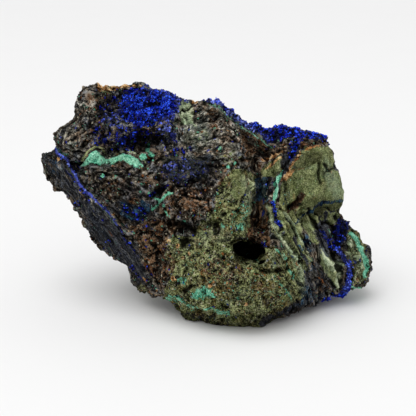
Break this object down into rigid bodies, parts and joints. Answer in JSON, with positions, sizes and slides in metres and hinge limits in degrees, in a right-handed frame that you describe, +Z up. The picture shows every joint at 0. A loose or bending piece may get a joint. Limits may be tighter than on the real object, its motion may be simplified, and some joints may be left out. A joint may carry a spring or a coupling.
{
  "type": "azurite specimen",
  "caption": "Rough azurite and malachite mineral specimen: an angular brown and green stone with blue crystal crusts, resting on a flat underside.",
  "frame": {"origin": "under the middle of the stone's bounding box, on the flat face that it rests on", "axes": "+X along the stone's longest side, to the right seen from its front, +Y from the front to the back, +Z up"},
  "size_m": [0.1156, 0.071, 0.0758],
  "materials": {
    "stone": "rough, dull, with glinting blue crystal crusts"
  },
  "bodies": {
    "root": {"azurite_specimen": "stone"}
  },
  "joints": []
}
